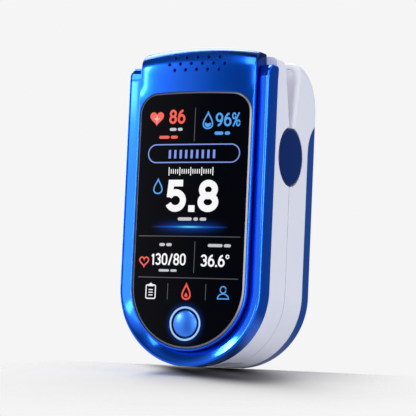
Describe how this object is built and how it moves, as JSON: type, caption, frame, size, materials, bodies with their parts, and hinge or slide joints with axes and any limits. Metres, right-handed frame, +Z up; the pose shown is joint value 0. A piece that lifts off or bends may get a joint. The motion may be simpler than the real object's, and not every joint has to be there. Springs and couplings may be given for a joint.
{
  "type": "glucose monitor",
  "caption": "Finger-clip glucose monitor: sprung jaws on a pivot, glass-fronted screen, domed power button, soft finger channel, and a lift-off battery cover at the back.",
  "frame": {"origin": "middle of the feet, under the centre of the body's box, on the surface that the meter stands on", "axes": "+Z up along the length, from the finger mouth to the squeeze end; the screen faces -Y; +X to the right of the screen as it is read"},
  "size_m": [0.032, 0.0294, 0.0656],
  "materials": {
    "blue_cover": "high gloss metallic blue",
    "white_shell": "satin white",
    "navy_cap": "satin navy",
    "rear_blue": "satin dark blue",
    "screen_glass": "black polished",
    "ring_light": "lit translucent",
    "button_blue": "gloss",
    "silicone": "matt",
    "clear_window": "clear",
    "board": "solder mask",
    "black_parts": "moulded",
    "screen_module": "polished",
    "ribbon": "film",
    "steel": "ground",
    "nickel": "plated",
    "cell_wrap": "printed wrap",
    "foam": "open cell"
  },
  "bodies": {
    "front_jaw": {"front_cover": "blue_cover", "rim_frame": "blue_cover", "display_lens": "screen_glass", "button_light_ring": "ring_light", "display_module": "screen_module", "main_board": "board", "board_chips": "black_parts", "sounder": "black_parts", "power_switch": "black_parts", "light_sensor": "black_parts", "sensor_window": "clear_window", "flex_socket": "black_parts", "front_shell": "white_shell", "front_finger_pad": "silicone", "front_screws": "steel", "hinge_cap_left": "navy_cap", "hinge_cap_right": "navy_cap"},
    "power_button": {"power_button": "button_blue", "switch_plunger": "black_parts"},
    "rear_jaw": {"rear_shell": "white_shell", "rear_inner_frame": "white_shell", "rear_finger_pad": "silicone", "rear_screws": "steel", "emitter_window": "clear_window", "emitter_leds": "clear_window", "emitter_board": "board", "flex_cable": "ribbon", "battery_cell_left": "cell_wrap", "battery_cell_right": "cell_wrap", "cell_bridge": "nickel", "lower_cell_spring": "nickel", "positive_terminal": "nickel", "negative_terminal": "nickel", "upper_cell_spring": "nickel", "hinge_pin": "steel", "hinge_spring_left": "steel", "hinge_spring_right": "steel"},
    "battery_cover": {"battery_cover": "rear_blue", "cell_pad": "foam"}
  },
  "joints": [
    {"name": "jaw_hinge", "type": "hinge", "parent": "front_jaw", "child": "rear_jaw", "pos_m": [0, 0.00022, 0.0443], "axis": [1, 0, 0], "range_deg": [0, 14], "stiffness_Nm_per_rad": 0.15, "springref_deg": -20.05, "deforming": ["hinge_spring_left", "hinge_spring_right", "flex_cable"]},
    {"name": "button_press", "type": "slide", "parent": "front_jaw", "child": "power_button", "axis": [0, 1, 0], "range_m": [0, 0.00035], "stiffness_N_per_m": 2000, "springref_m": -0.0005},
    {"name": "cover_release", "type": "slide", "parent": "rear_jaw", "child": "battery_cover", "axis": [0, 1, 0], "range_m": [0, 0.015]}
  ]
}
